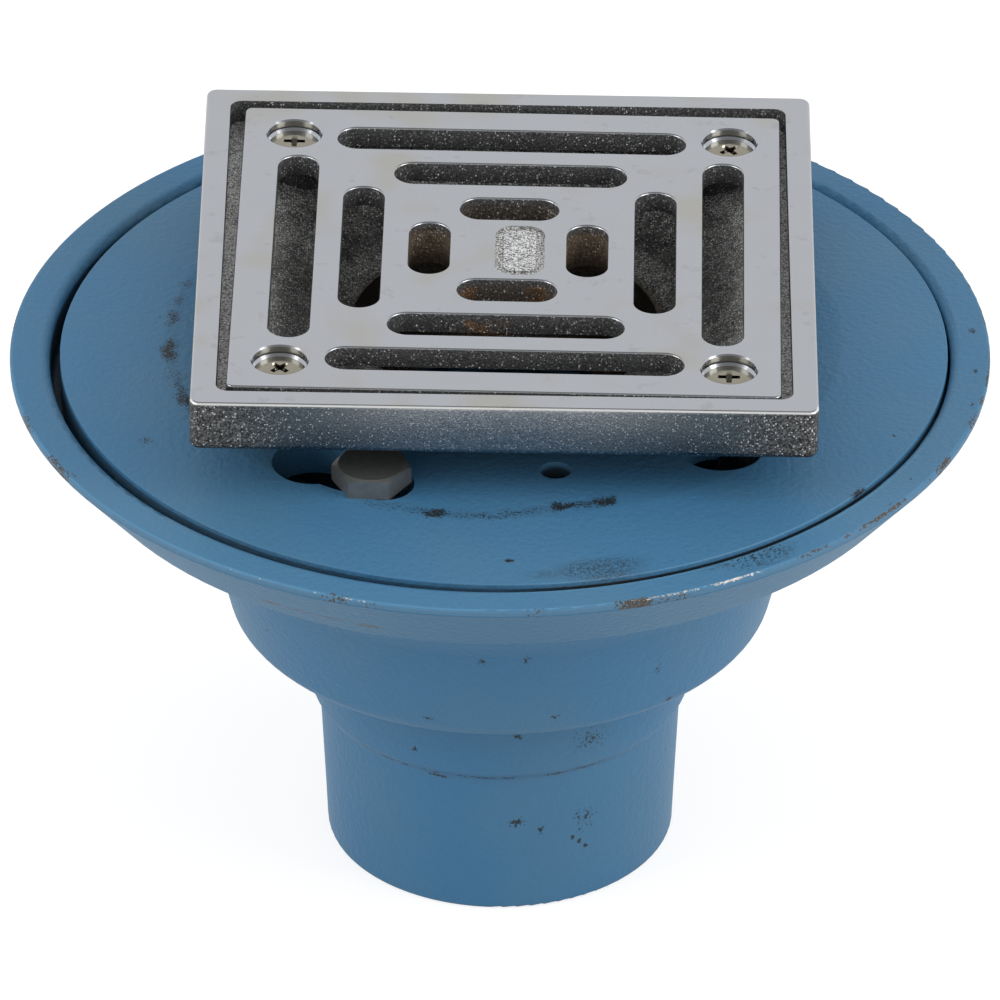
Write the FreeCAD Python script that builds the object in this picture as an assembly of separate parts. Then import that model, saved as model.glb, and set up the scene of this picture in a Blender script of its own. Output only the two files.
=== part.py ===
"""Cast floor drain with a clamping collar and a square, height-adjustable strainer.

Millimetres, +Z up, origin on the outlet's axis at the outlet's lower end.
"""
import FreeCAD, Part
import os
from math import atan2, cos, degrees, pi, radians, sin, tan
from FreeCAD import Vector

# Body casting: a dished rim over a bowl, a stepped neck and a threaded outlet
body_height = 116.0
rim_radius = 101.6
rim_inner_radius = 93.3
rim_edge_height = 1.6
rim_edge_round = 0.7
rim_inner_round = 2.0
rim_face_drop = 15.6
rim_face_inset = 11.9
rim_lower_round = 1.5
flange_root_radius = 70.0
flange_root_drop = 22.0
flange_root_round = 8.0
bowl_radius = 62.5
bowl_drop = 35.1
bowl_round = 10.6
shoulder_radius = 56.4
shoulder_drop = 59.7
shoulder_round = 4.2
neck_root_radius = 42.4
neck_root_drop = 64.1
neck_root_round = 3.0
neck_radius = 39.9
neck_drop = 80.2
neck_round = 1.6
outlet_top_radius = 38.05
outlet_top_drop = 82.6
outlet_top_round = 1.5
outlet_radius = 36.5
outlet_edge_round = 1.0
bowl_wall = 7.5
sump_corner_rise = 5.7
sump_floor_radius = 36.0
sump_floor_drop = 59.0
sump_neck_radius = 33.2
sump_neck_drop = 70.0
sump_round = 4.0
sump_mouth_radius = 54.5
seat_depth = 9.0
seat_corner_round = 1.0

# Outlet: socket for a 2 inch pipe thread, then the waterway behind it
pipe_thread_radius = 29.2
pipe_thread_length = 24.0
pipe_lead_in = 1.8
waterway_radius = 26.5
waterway_length = 12.0
waterway_round = 3.0

# The drilled bolt circle, and all that hangs on it, lies a little off the casting's axis
upper_axis = Vector(0.8, 0.1, 0)

# Clamping collar: land, crest, sloped skirt, clamping ring and threaded neck
collar_radius = 92.0
collar_lip_round = 0.3
collar_edge_round = 0.8
crest_radius = 70.0
crest_round = 8.0
land_lift = 2.0
land_thickness = 8.0
clamp_ring_radius = 75.0
clamp_ring_round = 1.2
collar_neck_length = 35.0
collar_neck_wall = 6.2
collar_neck_round = 3.0
collar_mouth_radius = 44.5
collar_mouth_depth = 5.5
weep_radius = 3.25
weep_circle_radius = 52.8
weep_angle = -78.5
weep_count = 4

# Hex bolts that hold the collar, and the keyhole slots that they ride in
bolt_circle_radius = 62.0
bolt_angle = -115.7
bolt_pair_turn = 84.3
bolt_radius = 4.76
bolt_length = 25.0
bolt_flats = 14.1
bolt_head_height = 4.4
bolt_head_turn = -4.0
bolt_crown_inset = 0.3
bolt_chamfer_angle = 30.0
bolt_hole_extra_depth = 0.6
bolt_thread_clearance = 0.1
slot_clearance = 1.5
slot_tail_turn = 2.5
keyhole_turn = 12.9
keyhole_clearance = 0.5

# Strainer head: square frame, ledge, square-to-round funnel and threaded shank.
# It leans a little to one side in the slack of its thread.
head_half = 63.5
head_height = 11.1
head_raise = 24.0
head_turn = -0.4
head_lean = 0.8
head_corner_round = 2.2
head_top_round = 0.7
head_bottom_round = 1.3
recess_half = 58.4
recess_corner_round = 2.6
ledge_width = 6.9
funnel_corner_round = 6.0
funnel_depth = 13.0
hub_half = 49.0
hub_corner_round = 14.0
hub_depth = 7.5
throat_radius = 31.75
shank_radius = 38.0
shank_length = 46.0
shank_end_round = 0.8
shank_clearance = 0.45
boss_radius = 8.5
lower_boss_radius = 5.0
lower_boss_length = 2.2

# Grate: it drops into the recess, a little turned and off to one side
grate_half = 56.2
grate_thickness = 4.5
grate_drop = 0.55
grate_turn = -0.6
grate_shift = Vector(0.4, 0.0, 0)
grate_corner_round = 1.6
grate_edge_round = 0.4
grate_boss_radius = 24.5
grate_boss_depth = 5.2
grate_boss_round = 0.8
slot_width = 8.5
slot_pitch = 14.0
slot_inner_offset = 16.3
slot_lengths = (20.5, 48.4, 72.9)
pad_length = 19.6
pad_width = 10.2
pad_corner_round = 3.8
pad_depth = 0.5
pad_border = 1.8
pad_panel_rise = 0.4
pad_offset = Vector(2.4, -0.3, 0)

# Cross-recess screws that hold the grate
screw_spacing_half = 45.6
screw_radius = 2.4
screw_length = 8.4
screw_head_radius = 4.9
screw_head_edge = 0.5
screw_edge_round = 0.3
screw_head_cone = 1.7
screw_crown_radius = 3.0
screw_crown_rise = 0.25
screw_crown_round = 10.0
screw_sink = 2.1
screw_clearance = 0.1
screw_hole_extra_depth = 1.0
screw_turns = (38.0, 0.0, 45.0, 0.0)
counterbore_clearance = 0.75
counterbore_chamfer = 0.3
cross_length = 4.5
cross_width = 1.15
cross_depth = 2.0
cross_core_radius = 1.0
cross_tip_radius = 0.8

# Sizes that follow from those above
rim_z = body_height
seat_z = rim_z - seat_depth
land_z = rim_z + land_lift
head_top_z = rim_z + head_raise
head_bottom_z = head_top_z - head_height
grate_top_z = head_top_z - grate_drop
ledge_z = grate_top_z - grate_thickness
grate_boss_z = ledge_z - grate_boss_depth
throat_z = ledge_z - funnel_depth
shank_end_z = head_top_z - shank_length
thread_middle_z = (land_z - collar_mouth_depth + shank_end_z) / 2
screw_top_z = grate_top_z - screw_sink
bolt_corner_radius = bolt_flats / 2 / cos(pi / 6)

origin = Vector(0, 0, 0)
up = Vector(0, 0, 1)
square_sides = 4
hex_sides = 6
tolerance = 1e-5


def rounded_wire(corners):
    """Closed wire through (r, z, round) corners in the XZ plane, each round a tangent arc."""
    spans = []
    for index, (r, z, corner_round) in enumerate(corners):
        following = corners[(index + 1) % len(corners)]
        here = Vector(r, 0, z)
        back = Vector(corners[index - 1][0], 0, corners[index - 1][1]) - here
        ahead = Vector(following[0], 0, following[1]) - here
        half_angle = back.getAngle(ahead) / 2
        reach = corner_round / tan(half_angle)
        back.normalize()
        ahead.normalize()
        inward = (back + ahead).normalize()
        middle = here + inward * (corner_round / sin(half_angle) - corner_round)
        spans.append((here + back * reach, middle, here + ahead * reach, corner_round))
    edges = []
    for index, (start, middle, end, corner_round) in enumerate(spans):
        if corner_round > 0:
            edges.append(Part.Arc(start, middle, end).toShape())
        edges.append(Part.LineSegment(end, spans[(index + 1) % len(spans)][0]).toShape())
    return Part.Wire(edges)


def turned(corners):
    """Solid of revolution about Z from a profile of (r, z, round) corners."""
    return Part.Face(rounded_wire(corners)).revolve(origin, up, 360)


def rounded_rectangle(half_x, half_y, corner, z):
    """Closed wire of a rectangle with rounded corners, centred on Z."""
    flat_x = half_x - corner
    flat_y = half_y - corner
    bulge = corner * cos(pi / 4)
    arcs = []
    for side_x, side_y in ((1, 1), (-1, 1), (-1, -1), (1, -1)):
        on_side = Vector(side_x * half_x, side_y * flat_y, z)
        bend = Vector(side_x * (flat_x + bulge), side_y * (flat_y + bulge), z)
        on_end = Vector(side_x * flat_x, side_y * half_y, z)
        arcs.append((on_side, bend, on_end) if side_x * side_y > 0 else (on_end, bend, on_side))
    edges = []
    for index, (start, bend, end) in enumerate(arcs):
        edges.append(Part.Arc(start, bend, end).toShape())
        following = arcs[(index + 1) % len(arcs)][0]
        if not following.isEqual(end, tolerance):
            edges.append(Part.LineSegment(end, following).toShape())
    return Part.Wire(edges)


def matched_circle(radius, half, corner, z):
    """Circle split into eight arcs that face the sides and corners of a rounded square."""
    split = degrees(atan2(half - corner, half))
    cuts = [split, 90 - split]
    arcs = []
    for quarter in range(square_sides):
        for start, end in ((cuts[0], cuts[1]), (cuts[1], 90 + cuts[0])):
            angles = [radians(90 * quarter + a) for a in (start, (start + end) / 2, end)]
            points = [Vector(radius * cos(a), radius * sin(a), z) for a in angles]
            arcs.append(Part.Arc(*points).toShape())
    return Part.Wire(arcs)


def square_to_round(half, corner, top_z, radius, bottom_z):
    """Solid that runs from a rounded square at top_z to a circle at bottom_z."""
    square = rounded_rectangle(half, half, corner, top_z)
    circle = matched_circle(radius, half, corner, bottom_z)
    return Part.makeLoft([square, circle], True, True)


def plate(wire, height):
    """Flat solid that rises from a closed wire by height."""
    return Part.Face(wire).extrude(Vector(0, 0, height))


def rod(radius, bottom_z, top_z, x=0.0, y=0.0):
    """Upright cylinder between two heights."""
    return Part.makeCylinder(radius, top_z - bottom_z, Vector(x, y, bottom_z))


def round_edges_at(solid, z, radius):
    """Fillet every edge that lies flat at height z."""
    flat = [e for e in solid.Edges if abs(e.BoundBox.ZMin - z) + abs(e.BoundBox.ZMax - z) < tolerance]
    return solid.makeFillet(radius, flat)


def turned_copies(solid, angles):
    """Copies of a solid, each turned about Z by one of the angles."""
    copies = []
    for angle in angles:
        copy = solid.copy()
        copy.rotate(origin, up, angle)
        copies.append(copy)
    return copies


def ring_of(solid, count):
    """Copies of a solid spaced evenly about Z."""
    return turned_copies(solid, [index * 360 / count for index in range(count)])


def at_bolts(solid):
    """Copies at the four bolts, which stand in two opposite pairs."""
    return turned_copies(solid, (0, bolt_pair_turn, 180, 180 + bolt_pair_turn))


def polar(radius, angle, z):
    """Point at a radius and an angle in degrees."""
    return Vector(radius * cos(radians(angle)), radius * sin(radians(angle)), z)


def on_upper_axis(shape):
    """Shape moved from Z to the axis of the bolt circle."""
    return shape.translated(upper_axis)


def on_head(shape):
    """Shape turned and leaned with the strainer head and moved to its axis."""
    leaned_shape = shape.copy()
    leaned_shape.rotate(origin, up, head_turn)
    leaned_shape.rotate(Vector(0, 0, thread_middle_z), Vector(0, 1, 0), head_lean)
    return on_upper_axis(leaned_shape)


def as_in_recess(shape):
    """Shape turned and shifted as the grate lies in the head's recess."""
    turned_shape = shape.copy()
    turned_shape.rotate(origin, up, grate_turn)
    return turned_shape.translated(grate_shift)


def drain_body():
    """Dished casting, turned about the outlet, with tapped holes for the collar bolts."""
    shell = turned([
        (rim_radius, rim_z, rim_edge_round),
        (rim_radius, rim_z - rim_edge_height, rim_edge_round),
        (rim_radius - rim_face_inset, rim_z - rim_face_drop, rim_lower_round),
        (flange_root_radius, rim_z - flange_root_drop, flange_root_round),
        (bowl_radius, rim_z - bowl_drop, bowl_round),
        (shoulder_radius, rim_z - shoulder_drop, shoulder_round),
        (neck_root_radius, rim_z - neck_root_drop, neck_root_round),
        (neck_radius, rim_z - neck_drop, neck_round),
        (outlet_top_radius, rim_z - outlet_top_drop, outlet_top_round),
        (outlet_radius, 0, outlet_edge_round),
        (pipe_thread_radius + pipe_lead_in, 0, 0),
        (pipe_thread_radius, pipe_lead_in, 0),
        (pipe_thread_radius, pipe_lead_in + pipe_thread_length, 0),
        (waterway_radius, pipe_lead_in + pipe_thread_length, 0),
        (waterway_radius, pipe_lead_in + pipe_thread_length + waterway_length, waterway_round),
        (sump_neck_radius, rim_z - sump_neck_drop, sump_round),
        (sump_floor_radius, rim_z - sump_floor_drop, sump_round),
        (shoulder_radius - bowl_wall, rim_z - shoulder_drop + sump_corner_rise, shoulder_round),
        (bowl_radius - bowl_wall, rim_z - bowl_drop, bowl_round),
        (sump_mouth_radius, seat_z, seat_corner_round),
        (rim_inner_radius, seat_z, seat_corner_round),
        (rim_inner_radius, rim_z, rim_inner_round),
    ])
    hole_bottom = land_z - bolt_length - bolt_hole_extra_depth
    centre = polar(bolt_circle_radius, bolt_angle, 0)
    hole = rod(bolt_radius + bolt_thread_clearance, hole_bottom, seat_z, centre.x, centre.y)
    for copy in at_bolts(hole):
        shell = shell.cut(on_upper_axis(copy))
    return shell


def keyhole():
    """Slot that follows the bolt circle from its narrow tail to the end that passes a bolt head."""
    inner = bolt_circle_radius - bolt_radius - slot_clearance
    outer = bolt_circle_radius + bolt_radius + slot_clearance
    bottom_z = land_z - land_thickness
    tail_angle = bolt_angle + slot_tail_turn
    wide_angle = bolt_angle - keyhole_turn
    sweep = tail_angle - wide_angle
    band = Part.makeCylinder(outer, land_thickness, Vector(0, 0, bottom_z), up, sweep)
    band = band.cut(rod(inner, bottom_z, land_z))
    band.rotate(origin, up, wide_angle)
    tail = polar(bolt_circle_radius, tail_angle, bottom_z)
    wide = polar(bolt_circle_radius, wide_angle, bottom_z)
    wide_radius = bolt_corner_radius + keyhole_clearance
    band = band.fuse(rod(bolt_radius + slot_clearance, bottom_z, land_z, tail.x, tail.y))
    return band.fuse(rod(wide_radius, bottom_z, land_z, wide.x, wide.y)).removeSplitter()


def clamping_collar():
    """Turned ring with its neck, cut by the keyholes and the weep holes."""
    bore = shank_radius + shank_clearance
    neck_outer = bore + collar_neck_wall
    underside_z = land_z - land_thickness
    ring = turned([
        (bore, land_z - collar_neck_length, 0),
        (neck_outer, land_z - collar_neck_length, collar_edge_round),
        (neck_outer, underside_z, collar_neck_round),
        (clamp_ring_radius, underside_z, clamp_ring_round),
        (clamp_ring_radius, seat_z, clamp_ring_round),
        (collar_radius, seat_z, collar_edge_round),
        (collar_radius, rim_z, collar_lip_round),
        (crest_radius, land_z, crest_round),
        (collar_mouth_radius, land_z, collar_edge_round),
        (bore, land_z - collar_mouth_depth, 0),
    ])
    weep = polar(weep_circle_radius, weep_angle, 0)
    drain_hole = rod(weep_radius, underside_z, land_z, weep.x, weep.y)
    for cutter in at_bolts(keyhole()) + ring_of(drain_hole, weep_count):
        ring = ring.cut(cutter)
    return on_upper_axis(ring)


def collar_bolts():
    """Hex bolts with chamfered heads, seated on the collar's land."""
    corner_angles = [bolt_head_turn + side * 360 / hex_sides for side in range(hex_sides + 1)]
    hexagon = Part.makePolygon([polar(bolt_corner_radius, angle, land_z) for angle in corner_angles])
    crown_radius = bolt_flats / 2 - bolt_crown_inset
    chamfer_drop = (bolt_corner_radius - crown_radius) * tan(radians(bolt_chamfer_angle))
    head_top = land_z + bolt_head_height
    head = plate(hexagon, bolt_head_height).common(turned([
        (0, land_z, 0),
        (bolt_corner_radius, land_z, 0),
        (bolt_corner_radius, head_top - chamfer_drop, 0),
        (crown_radius, head_top, 0),
        (0, head_top, 0),
    ]))
    bolt = head.fuse(rod(bolt_radius, land_z - bolt_length, land_z)).removeSplitter()
    bolt.translate(polar(bolt_circle_radius, bolt_angle, 0))
    return Part.makeCompound([on_upper_axis(copy) for copy in at_bolts(bolt)])


def screw_axis_point(z):
    """Place of one grate screw, measured from the grate's centre."""
    return Vector(screw_spacing_half, screw_spacing_half, z)


def strainer_head():
    """Square frame on a threaded shank, hollowed by the grate's recess and the funnel."""
    outline = rounded_rectangle(head_half, head_half, head_corner_round, head_bottom_z)
    frame = plate(outline, head_height)
    frame = round_edges_at(frame, head_top_z, head_top_round)
    frame = round_edges_at(frame, head_bottom_z, head_bottom_round)
    hub_top_z = head_bottom_z + head_bottom_round
    hub_bottom_z = head_bottom_z - hub_depth
    hub = square_to_round(hub_half, hub_corner_round, hub_top_z, shank_radius, hub_bottom_z)
    shank = turned([
        (0, shank_end_z, 0),
        (shank_radius, shank_end_z, shank_end_round),
        (shank_radius, hub_bottom_z, 0),
        (0, hub_bottom_z, 0),
    ])
    solid = frame.fuse([hub, shank])
    corner = screw_axis_point(0)
    lower_boss = rod(lower_boss_radius, head_bottom_z - lower_boss_length, ledge_z, corner.x, corner.y)
    solid = solid.fuse([as_in_recess(copy) for copy in ring_of(lower_boss, square_sides)])

    funnel_half = recess_half - ledge_width
    funnel = square_to_round(funnel_half, funnel_corner_round, ledge_z, throat_radius, throat_z)
    pillar = rod(boss_radius, throat_z, ledge_z, corner.x, corner.y)
    web_size = funnel_half + boss_radius - corner.x
    for back_x, back_y in ((boss_radius, 0), (0, boss_radius)):
        low = Vector(corner.x - back_x, corner.y - back_y, throat_z)
        pillar = pillar.fuse(Part.makeBox(web_size + back_x, web_size + back_y, funnel_depth, low))
    funnel = funnel.cut(ring_of(pillar, square_sides))
    outline = rounded_rectangle(recess_half, recess_half, recess_corner_round, ledge_z)
    recess = plate(outline, head_top_z - ledge_z)
    hole_bottom = screw_top_z - screw_length - screw_hole_extra_depth
    hole = rod(screw_radius + screw_clearance, hole_bottom, ledge_z, corner.x, corner.y)
    solid = solid.cut([recess, funnel, rod(throat_radius, shank_end_z, throat_z)])
    solid = solid.cut([as_in_recess(copy) for copy in ring_of(hole, square_sides)])
    return on_head(solid.removeSplitter())


def grate_slots():
    """Three squares of round-ended slots, four slots to a square."""
    cutters = []
    for index, length in enumerate(slot_lengths):
        offset = slot_inner_offset + index * slot_pitch
        outline = rounded_rectangle(length / 2, slot_width / 2, slot_width / 2, grate_boss_z)
        slot = plate(outline, grate_top_z - grate_boss_z).translated(Vector(0, offset, 0))
        cutters += ring_of(slot, square_sides)
    return cutters


def cast_pad(inset, height):
    """Oblong with rounded corners for the cast pad, its border inset by a distance."""
    outline = rounded_rectangle(
        pad_width / 2 - inset, pad_length / 2 - inset, pad_corner_round - inset, grate_top_z - pad_depth)
    return plate(outline, height).translated(pad_offset)


def grate():
    """Slotted plate, thicker about its middle, with countersunk screw holes and a sunk cast pad."""
    solid = plate(rounded_rectangle(grate_half, grate_half, grate_corner_round, ledge_z), grate_thickness)
    boss = turned([
        (0, grate_boss_z, 0),
        (grate_boss_radius, grate_boss_z, grate_boss_round),
        (grate_boss_radius, ledge_z, 0),
        (0, ledge_z, 0),
    ])
    solid = solid.fuse(boss).removeSplitter().cut(grate_slots())
    solid = round_edges_at(solid, grate_top_z, grate_edge_round)
    corner = screw_axis_point(0)
    sink_radius = screw_head_radius + counterbore_clearance
    cone_top_z = screw_top_z - screw_head_edge
    sink = turned([
        (0, ledge_z, 0),
        (screw_radius + screw_clearance, ledge_z, 0),
        (screw_radius + screw_clearance, cone_top_z - screw_head_cone, 0),
        (screw_head_radius, cone_top_z, 0),
        (sink_radius, cone_top_z + counterbore_clearance, 0),
        (sink_radius, grate_top_z - counterbore_chamfer, 0),
        (sink_radius + counterbore_chamfer, grate_top_z, 0),
        (0, grate_top_z, 0),
    ])
    sink.translate(corner)
    solid = solid.cut(ring_of(sink, square_sides))
    solid = solid.cut(cast_pad(0, pad_depth))
    solid = solid.fuse(cast_pad(pad_border, pad_panel_rise))
    return on_head(as_in_recess(solid))


def cross_recess(top_z):
    """Driver recess: two wings about a core, all tapering towards the tip."""
    bottom_z = top_z - cross_depth
    wings = rod(cross_core_radius, bottom_z, top_z)
    for length, width in ((cross_length, cross_width), (cross_width, cross_length)):
        low = Vector(-length / 2, -width / 2, bottom_z)
        wings = wings.fuse(Part.makeBox(length, width, cross_depth, low))
    taper = Part.makeCone(cross_tip_radius, cross_length / 2, cross_depth, Vector(0, 0, bottom_z))
    return wings.common(taper)


def grate_screws():
    """Countersunk screws with crowned heads, each left at its own turn."""
    cone_top_z = screw_top_z - screw_head_edge
    crown_z = screw_top_z + screw_crown_rise
    screw = turned([
        (0, screw_top_z - screw_length, 0),
        (screw_radius, screw_top_z - screw_length, screw_clearance),
        (screw_radius, cone_top_z - screw_head_cone, 0),
        (screw_head_radius, cone_top_z, 0),
        (screw_head_radius, screw_top_z, screw_edge_round),
        (screw_crown_radius, crown_z, screw_crown_round),
        (0, crown_z, 0),
    ])
    screw = screw.cut(cross_recess(crown_z))
    placed = []
    for quarter, turn in enumerate(screw_turns):
        driven = screw.copy()
        driven.rotate(origin, up, turn)
        driven.translate(screw_axis_point(0))
        driven.rotate(origin, up, quarter * 360 / square_sides)
        placed.append(on_head(as_in_recess(driven)))
    return Part.makeCompound(placed)


os.makedirs("parts", exist_ok=True)
for build in (drain_body, clamping_collar, collar_bolts, strainer_head, grate, grate_screws):
    shape = build()
    print(build.__name__, shape.ShapeType, len(shape.Solids), shape.isValid(), round(shape.Volume))
    shape.exportStep("parts/" + build.__name__ + ".step")
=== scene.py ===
"""Looks of a cast floor drain: blue painted body and collar, plated strainer, steel bolts.

Places and sizes in the materials are in millimetres of the part's own frame. A bearing is the
angle around a vertical axis in degrees: 0 is the front, positive to the right. A slope is the
upward part of a surface's normal. Levels, radii, bearings and slopes in pairs say where a look
starts and where it is full. Shades, strengths and the like in pairs are the values without and
with a look. A noise is given by its size, detail and roughness.
"""
import math

import bpy
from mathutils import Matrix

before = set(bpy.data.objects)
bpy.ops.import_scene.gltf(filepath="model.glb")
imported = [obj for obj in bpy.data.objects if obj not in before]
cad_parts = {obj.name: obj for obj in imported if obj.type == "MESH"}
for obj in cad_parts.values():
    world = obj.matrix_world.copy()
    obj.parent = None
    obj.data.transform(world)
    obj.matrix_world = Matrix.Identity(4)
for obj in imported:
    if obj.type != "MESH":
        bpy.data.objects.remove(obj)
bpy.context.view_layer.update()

MM_PER_METRE = 1000.0
FULL_TURN = 360.0
NOISE_MIDDLE = 0.5
WHITE = (1.0, 1.0, 1.0, 1.0)
UNIT = (0.0, 1.0)
MIX_NUMBER_SOCKETS = (0, 2, 3)
MIX_COLOUR_SOCKETS = (0, 6, 7)
MIX_COLOUR_RESULT = 2

# Camera: one long lens, level with the horizon, looking down on the rim.
camera_place = (0.0, -2.0139, 1.3411)
camera_pitch = math.radians(32.086)
camera_lens = 409.28
camera_sensor = 36.0
camera_reach = 50.0

# Studio: a soft box at each side, in a white room that is brighter above, with a grey ceiling and
# a dark wall behind the camera in what the metal mirrors.
room_low, room_high = 0.50, 0.94
front_fill = 0.26
ceiling_starts = (0.60, 0.80)
ceiling_loss = 0.70
dark_wall_starts = (0.70, 0.92)
dark_wall_rises = (0.12, 0.30)
dark_wall_loss = 0.65
box_place = (1.30, -0.50, 0.80)
box_size = (0.9, 1.1)
left_power, right_power = 8.0, 11.0
box_target = (0.0, 0.0, 0.09)
floor_half = 6.0
floor_albedo = 0.6
floor_glow = 0.74
floor_shade = 0.36

# Axes and levels of the castings.
body_axis = (0.0, 0.0)
collar_axis = (0.8, 0.1)
head_axis = (1.3, 0.1)
head_lean = (0.01396, 0.0, 0.9999)
grate_top = 139.45
ledge = 134.95
boss_radius = 24.5
pad_centre = (3.7, -0.2)
pad_half = (5.4, 10.1)
screw_places = ((-44.7, -44.7), (46.5, -46.3), (48.1, 44.9), (-43.1, 46.5))
weep_place = (11.3, -51.6)

# Threads, as (inner radius, outer radius, top level). The crest is half a turn up.
outlet_thread = (28.8, 30.0, 25.5)
neck_thread = (38.0, 39.0, 112.0)
shank_thread = (37.4, 38.6, 120.0)
thread_pitch = 2.2
thread_crest = 0.5
thread_depth = 1.8
thread_margin = 0.2
thread_runout = 1.0

# Colours of the paint, of painted light and painted shade on it, and of what shows through it.
paint_blue = (0.049, 0.162, 0.297, 1.0)
paint_grey_blue = (0.060, 0.167, 0.283, 1.0)
paint_lit = (0.105, 0.270, 0.430, 1.0)
paint_shaded = (0.034, 0.143, 0.258, 1.0)
paint_fillet_lit = (0.088, 0.190, 0.295, 1.0)
dirt_and_shade_black = (0.016, 0.016, 0.014, 1.0)
rust_brown = (0.128, 0.097, 0.070, 1.0)
bare_dark = (0.36, 0.34, 0.32, 1.0)
bare_light = (0.72, 0.71, 0.69, 1.0)

# Colours of the plated casting, polished and as cast, with a painted blue reflection, painted
# shade and light on walls, and painted glints.
polish_cool = (0.400, 0.415, 0.445, 1.0)
polish_pale = (0.430, 0.445, 0.478, 1.0)
polish_stain = (0.390, 0.375, 0.330, 1.0)
polish_smudge = (0.300, 0.305, 0.310, 1.0)
cast_smooth = (0.235, 0.245, 0.255, 1.0)
cast_blue_reflection = (0.060, 0.078, 0.092, 1.0)
cast_rough = (0.066, 0.068, 0.069, 1.0)
cast_inside = (0.150, 0.154, 0.147)
cast_wall_shaded = (0.076, 0.077, 0.079, 1.0)
cast_wall_lit_top = (0.112, 0.113, 0.114, 1.0)
cast_groove = (0.33, 0.33, 0.33, 1.0)
cast_glint = (0.88, 0.88, 0.87, 1.0)
pad_floor = (0.32, 0.32, 0.315, 1.0)
pad_panel = (0.40, 0.405, 0.41, 1.0)
throat_brown = (0.085, 0.066, 0.048, 1.0)
hole_brown = (0.150, 0.112, 0.078, 1.0)
slot_rust = (0.260, 0.130, 0.050, 1.0)

# Colours of bolts and screws.
bolt_dark = (0.16, 0.164, 0.160, 1.0)
bolt_pale = (0.29, 0.294, 0.286, 1.0)
nickel_dark = (0.255, 0.238, 0.190, 1.0)
nickel_pale = (0.315, 0.295, 0.240, 1.0)

# Wear along an edge, as (bearing, strength) stops.
bearing_span = (-125.0, 125.0)
crest_wear_left = [
    (-111, 0.0), (-108.5, 0.6), (-106, 0.1), (-102.5, 0.65), (-100, 0.1), (-98, 0.7), (-95, 0.7),
    (-92.5, 0.1), (-90.5, 0.2), (-88.5, 0.95), (-84, 0.95), (-81.5, 0.25), (-77, 0.45),
    (-72, 0.65), (-69, 0.95), (-65, 0.95), (-63, 0.0)]
crest_wear_front = [
    (-26, 0.0), (-24, 0.35), (-14, 0.42), (-13, 1.0), (-10.4, 1.0), (-9.4, 0.4), (-4, 0.5),
    (4, 0.5), (8, 0.4), (9, 1.0), (11.6, 1.0), (12.4, 0.7), (15.6, 0.65), (16.4, 0.95),
    (19.6, 1.0), (20.6, 0.0)]
edge_bare = [
    (-34, 0.0), (-32.6, 0.0), (-32, 0.8), (-31.2, 0.0), (-28.8, 0.0), (-28.3, 0.7), (-27.8, 0.0),
    (-22.2, 0.0), (-21.5, 0.8), (-20.8, 0.0), (-18.2, 0.0), (-17.7, 1.0), (-17.2, 0.0),
    (-16.1, 0.0), (-15.7, 0.8), (-15.2, 0.0), (14, 0.0), (16.5, 0.35), (17.5, 0.62),
    (22.5, 0.62), (24, 0.1), (25, 0.3), (25.6, 1.0), (29.2, 1.0), (29.5, 0.2), (29.8, 0.9),
    (31, 0.9), (31.4, 0.0)]
edge_rust = [
    (-76, 0.0), (-74.5, 0.6), (-72, 0.6), (-70, 0.0), (-66, 0.0), (-64.5, 0.7), (-60.5, 0.7),
    (-59, 0.0), (-21, 0.0), (-19.6, 0.5), (-17.4, 0.55), (-16.6, 0.0), (-13.8, 0.4), (-13, 0.0),
    (2.5, 0.0), (3.4, 0.4), (5, 0.4), (6, 0.0), (13, 0.0), (13.9, 0.9), (16.6, 0.8),
    (17.6, 0.45), (22, 0.45), (23.4, 0.0), (60.5, 0.0), (62, 0.7), (64.5, 0.7), (65.5, 0.0),
    (71.5, 0.0), (72.5, 0.6), (74.5, 0.6), (75.5, 0.0)]

# Patches: bearing, reach in degrees, radius or level, reach in millimetres, strength.
collar_patches = [
    (0.7, 1.0, 84.1, 0.9, 1.2), (-62.3, 1.6, 82.6, 2.4, 0.7), (51.5, 2.0, 91.9, 1.2, 1.3),
    (65.8, 0.4, 87.5, 0.6, 1.3)]
collar_scuffs = [(12.6, 8.0, 88.4, 4.4, 1.0), (5.5, 5.0, 88.9, 2.6, 0.4)]
rim_patches = [
    (31.0, 5.0, 96.0, 4.0, 0.6), (93.7, 0.9, 98.3, 1.0, 1.2), (84.4, 0.6, 98.8, 0.7, 1.2),
    (76.7, 0.6, 99.7, 0.7, 1.0)]
rim_scuffs = [(33.0, 6.0, 96.8, 4.8, 1.0), (27.5, 4.6, 95.4, 1.8, 0.5)]
rim_streaks = [
    (35.2, 2.4, 99.6, 0.8, 0.5), (51.5, 3.2, 100.2, 0.8, 0.45), (-59.6, 1.2, 100.4, 0.8, 0.6)]
side_patches = [
    (-54.4, 0.7, 68.1, 0.7, 1.2), (-3.4, 1.3, 78.0, 1.5, 0.9), (-15.0, 2.0, 60.2, 0.9, 0.8),
    (-26.1, 2.2, 40.2, 1.1, 1.0), (-19.4, 5.0, 33.2, 0.6, 1.3), (5.0, 1.4, 78.3, 1.6, 0.9),
    (33.2, 1.0, 69.3, 3.2, 0.75), (37.9, 1.4, 58.1, 1.2, 1.2), (11.3, 1.6, 61.2, 1.2, 0.9),
    (5.3, 2.0, 46.4, 1.2, 1.1), (27.5, 9.0, 42.5, 4.5, 0.55), (28.0, 14.0, 34.6, 0.9, 0.75),
    (5.5, 3.4, 22.3, 1.6, 1.0), (13.3, 2.0, 20.0, 1.8, 0.9), (28.4, 6.0, 20.8, 4.0, 0.6),
    (23.9, 1.3, 16.5, 0.9, 1.2), (26.3, 1.4, 15.0, 0.9, 1.3), (29.0, 1.4, 13.3, 0.9, 1.3)]
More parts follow.
